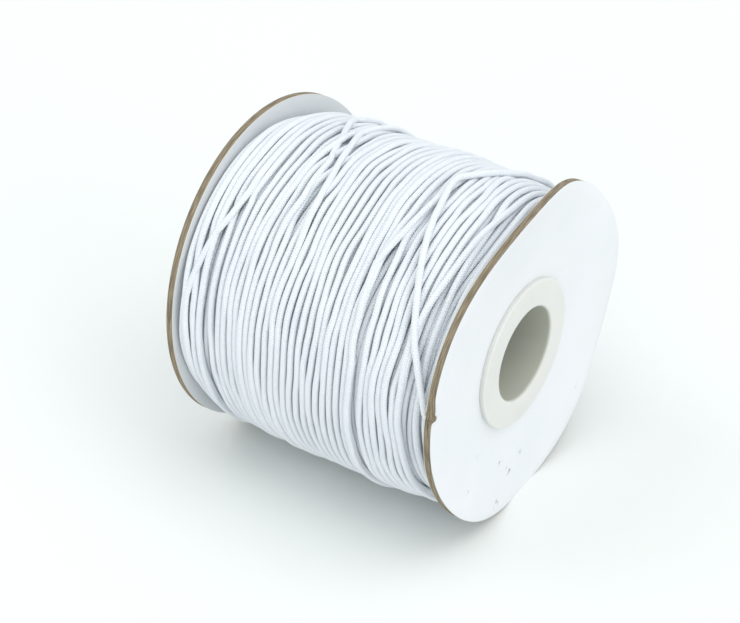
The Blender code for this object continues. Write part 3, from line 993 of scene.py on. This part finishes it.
TORN_ANGLE = SLIT_ANGLE + 2.0
Scuff = namedtuple("Scuff", "y z size strength")  # millimetres
SCUFFS = (
    Scuff(-18.6, 21.6, 1.3, 0.6), Scuff(-8.3, 13.6, 1.5, 0.9), Scuff(-5.4, 9.2, 1.7, 1.0),
    Scuff(0.5, 10.0, 1.6, 0.4), Scuff(-24.7, 16.5, 0.9, 0.7), Scuff(-12.5, 4.4, 1.8, 0.6),
    Scuff(26.2, 13.7, 1.4, 0.3),
)


def card_paint(name, scuffs=(), torn=None):
    """White paper over brown board, which shows at the cut edge and round a torn place."""
    paint = Paint(name, Roughness=0.62, Specular_IOR_Level=0.35)
    _, y, z = paint.xyz(paint.own())
    depth = paint.attribute("depth")
    ragged = (paint.noise(2600, 2) - 0.5) * 0.03
    board = (depth + ragged).ramp(0.03, 0.06) * (depth + ragged).ramp(0.92, 0.87)
    layered = paint.node("CombineXYZ", None, {"X": depth * 9, "Y": y * 260, "Z": z * 260})["Vector"]
    streaks = paint.noise(1.0, 4, at=layered)
    brown = paint.mix(streaks.ramp(0.3, 0.7), colour(104, 93, 76), colour(156, 143, 121))
    cloud = paint.noise(55, 4)
    fibre = paint.noise(2200, 2)
    uneven = cloud.ramp(0.3, 0.75) * 0.6 + fibre.ramp(0.4, 0.8) * 0.3
    white = paint.mix(uneven, colour(225, 227, 230), colour(219, 222, 225))
    white = paint.mix(depth.ramp(0.5, 0.6), white, colour(206, 202, 190))  # inner paper's edge
    # painted shade: the inner face, which looks into the spool, is painted greyer than the outer face
    white = paint.mix(depth.ramp(0.96, 0.99), white, colour(199, 203, 206))  # the inner paper's face, painted greyer: painted shade
    marks = 0.0
    for scuff in scuffs:
        off = (y - scuff.y / 1000) ** 2 + (z - scuff.z / 1000) ** 2
        marks = off.ramp((scuff.size / 1000) ** 2, 0.0) * scuff.strength + marks
    if scuffs:
        broken = paint.noise(900, 3).ramp(0.5, 0.62)
        white = paint.mix((marks * broken).least(1.0), white, colour(150, 156, 160))
    if torn is not None:
        off = ((y - float(torn[1])) ** 2 + (z - float(torn[2])) ** 2) ** 0.5 + ragged * 0.01
        board = board.most(off.ramp(0.0006, 0.0003))
    paint.feed("Base Color", paint.mix(board, white, brown))
    paint.feed("Roughness", board * 0.25 + 0.6)
    paint.bump(board * streaks + fibre * 0.12 + cloud * 0.1, 0.00012)
    return paint.material


for side in SIDES:
    disc = card_disc(side)
    if side == "slit":
        cut_slit(disc)
        torn = card_place(side, 0, FLANGE_RADIUS, TORN_ANGLE)
        paint = card_paint("paper_on_board_slit", SCUFFS, torn)
    else:
        paint = card_paint("paper_on_board_plain")
    store_depth(disc, side)
    disc.data.materials.append(paint)
    finish_piece(disc, "card", f"flange_{side}")

# %% [markdown]
# ## The hub
#
# A moulded collar clamps each card and a tube runs between them. A lathe shape suits it: one
# section of points, turned round the axis. The corners are true arcs, because a moulded rim catches
# the light along its rounding. The plastic is milky, so a little light scatters inside it.

# %% Hub
HUB_STEPS = 144
BORE_RADIUS = 0.0112
COLLAR_RADIUS = 0.0179
COLLAR_BACK = FACE_X + 0.00003  # the collar is clamped hard on the card, unlike in the solids
COLLAR_X = FACE_X + GAP
COLLAR_THICKNESS = 0.0009
COLLAR_ROUND = 0.00035
MOUTH_ROUND = 0.0007
ARC_POINTS = 7
LAP_LENGTH = 0.0060
LAP_RADIUS = 0.0122
BORE_SHADE = 0.0005  # the painted shade of the bore begins this far round its mouth
# Further rings of points, where a straight stretch is long
COLLAR_RINGS = (0.0135, 0.0155)  # radii
TUBE_RING = 0.02  # x
BORE_RINGS = (0.012, 0.022)  # x


def arc(x, radius, size, start, end):
    turns = np.radians(np.linspace(start, end, ARC_POINTS))
    return [(x + size * math.cos(t), radius + size * math.sin(t)) for t in turns]


def hub_half(side):
    face = COLLAR_X + COLLAR_THICKNESS
    section = arc(face - MOUTH_ROUND, BORE_RADIUS + MOUTH_ROUND, MOUTH_ROUND, -90, 0)
    section += [(face, ring) for ring in COLLAR_RINGS]
    section += arc(face - COLLAR_ROUND, COLLAR_RADIUS - COLLAR_ROUND, COLLAR_ROUND, 0, 90)
    section += [(COLLAR_BACK, COLLAR_RADIUS), (COLLAR_BACK, TUBE_RADIUS), (TUBE_RING, TUBE_RADIUS)]
    if side == "slit":
        step, reach = LAP_RADIUS - GAP / 2, -LAP_LENGTH
    else:
        step, reach = LAP_RADIUS + GAP / 2, LAP_LENGTH + GAP
    section += [(GAP / 2, TUBE_RADIUS), (GAP / 2, step), (reach, step), (reach, BORE_RADIUS)]
    section += [(ring, BORE_RADIUS) for ring in BORE_RINGS]
    x, radius = np.array(section).T
    rows = [place(SIDES[side] * x, radius, 360.0 * step / HUB_STEPS) for step in range(HUB_STEPS)]
    half = piece(f"collar_{side}", np.concatenate(rows), faces=grid_faces(HUB_STEPS, len(section)))
    outward(half)
    return half


moulded = Paint(
    "milky_moulding", Roughness=0.34, Specular_IOR_Level=0.5, Subsurface_Weight=0.25,
    Subsurface_Radius=(0.004, 0.004, 0.0035), Subsurface_Scale=0.6,
)
cloud = moulded.noise(40, 3)
plastic = moulded.mix(cloud.ramp(0.3, 0.7), colour(215, 216, 212), colour(207, 209, 204))
_, across, height = moulded.xyz(moulded.own())
from_axis = (across ** 2 + (height - AXIS_Z) ** 2) ** 0.5
# painted shade: the bore's wall is painted darker, as the inside of the bore lies in shade
painted_bore_shade = from_axis.ramp(BORE_RADIUS + BORE_SHADE, BORE_RADIUS)
moulded.feed("Base Color", moulded.mix(painted_bore_shade, plastic, colour(184, 186, 175)))
moulded.feed("Roughness", cloud * 0.14 + 0.28)
moulded.bump(moulded.noise(500, 2), 0.00003)
for side in SIDES:
    half = hub_half(side)
    half.data.materials.append(moulded.material)
    finish_piece(half, "moulding", f"hub_{side}")

# %% [markdown]
# ## Floor and light
#
# The picture is bright and soft: a pale floor that melts into the background, a bright sky all
# round and four large softboxes, of which the strongest is high above and to the right.

# %% Floor and light
LIT = Vector((0, 0, 0.03))  # the lamps face this point
corners = [(-3, -3, 0), (3, -3, 0), (3, 3, 0), (-3, 3, 0)]
floor = piece("studio_floor", corners, faces=[(0, 1, 2, 3)])
floor_paint = Paint("studio_floor", Roughness=0.9, Specular_IOR_Level=0.1)
patches = floor_paint.noise(3, 2)
floor_paint.feed(
    "Base Color", floor_paint.mix(patches, colour(232, 235, 233), colour(233, 236, 234))
)
floor.data.materials.append(floor_paint.material)

world = bpy.data.worlds.new("studio")
world.use_nodes = True
sky = world.node_tree.nodes["Background"]
sky.inputs["Color"].default_value = (0.955, 0.99, 1.0, 1)
sky.inputs["Strength"].default_value = 0.80
bpy.context.scene.world = world


def softbox(name, position, size, watts):
    """A square lamp that faces the spool."""
    lamp = add_object(name, bpy.data.lights.new(name, "AREA"))
    lamp.data.shape = "SQUARE"
    lamp.data.size = size
    lamp.data.energy = watts
    facing = (Vector(position) - LIT).to_track_quat("Z", "Y")
    lamp.matrix_world = Matrix.Translation(position) @ facing.to_matrix().to_4x4()


softbox("softbox_right", (2.0, 0.4, 4.2), 3.4, 66)
softbox("softbox_left", (-2.6, -1.2, 3.6), 3.0, 42)
softbox("softbox_front", (0.8, -3.6, 1.1), 2.4, 16)
softbox("softbox_side", (3.6, -0.8, 1.5), 2.4, 32)
bpy.context.scene.view_settings.view_transform = "Standard"
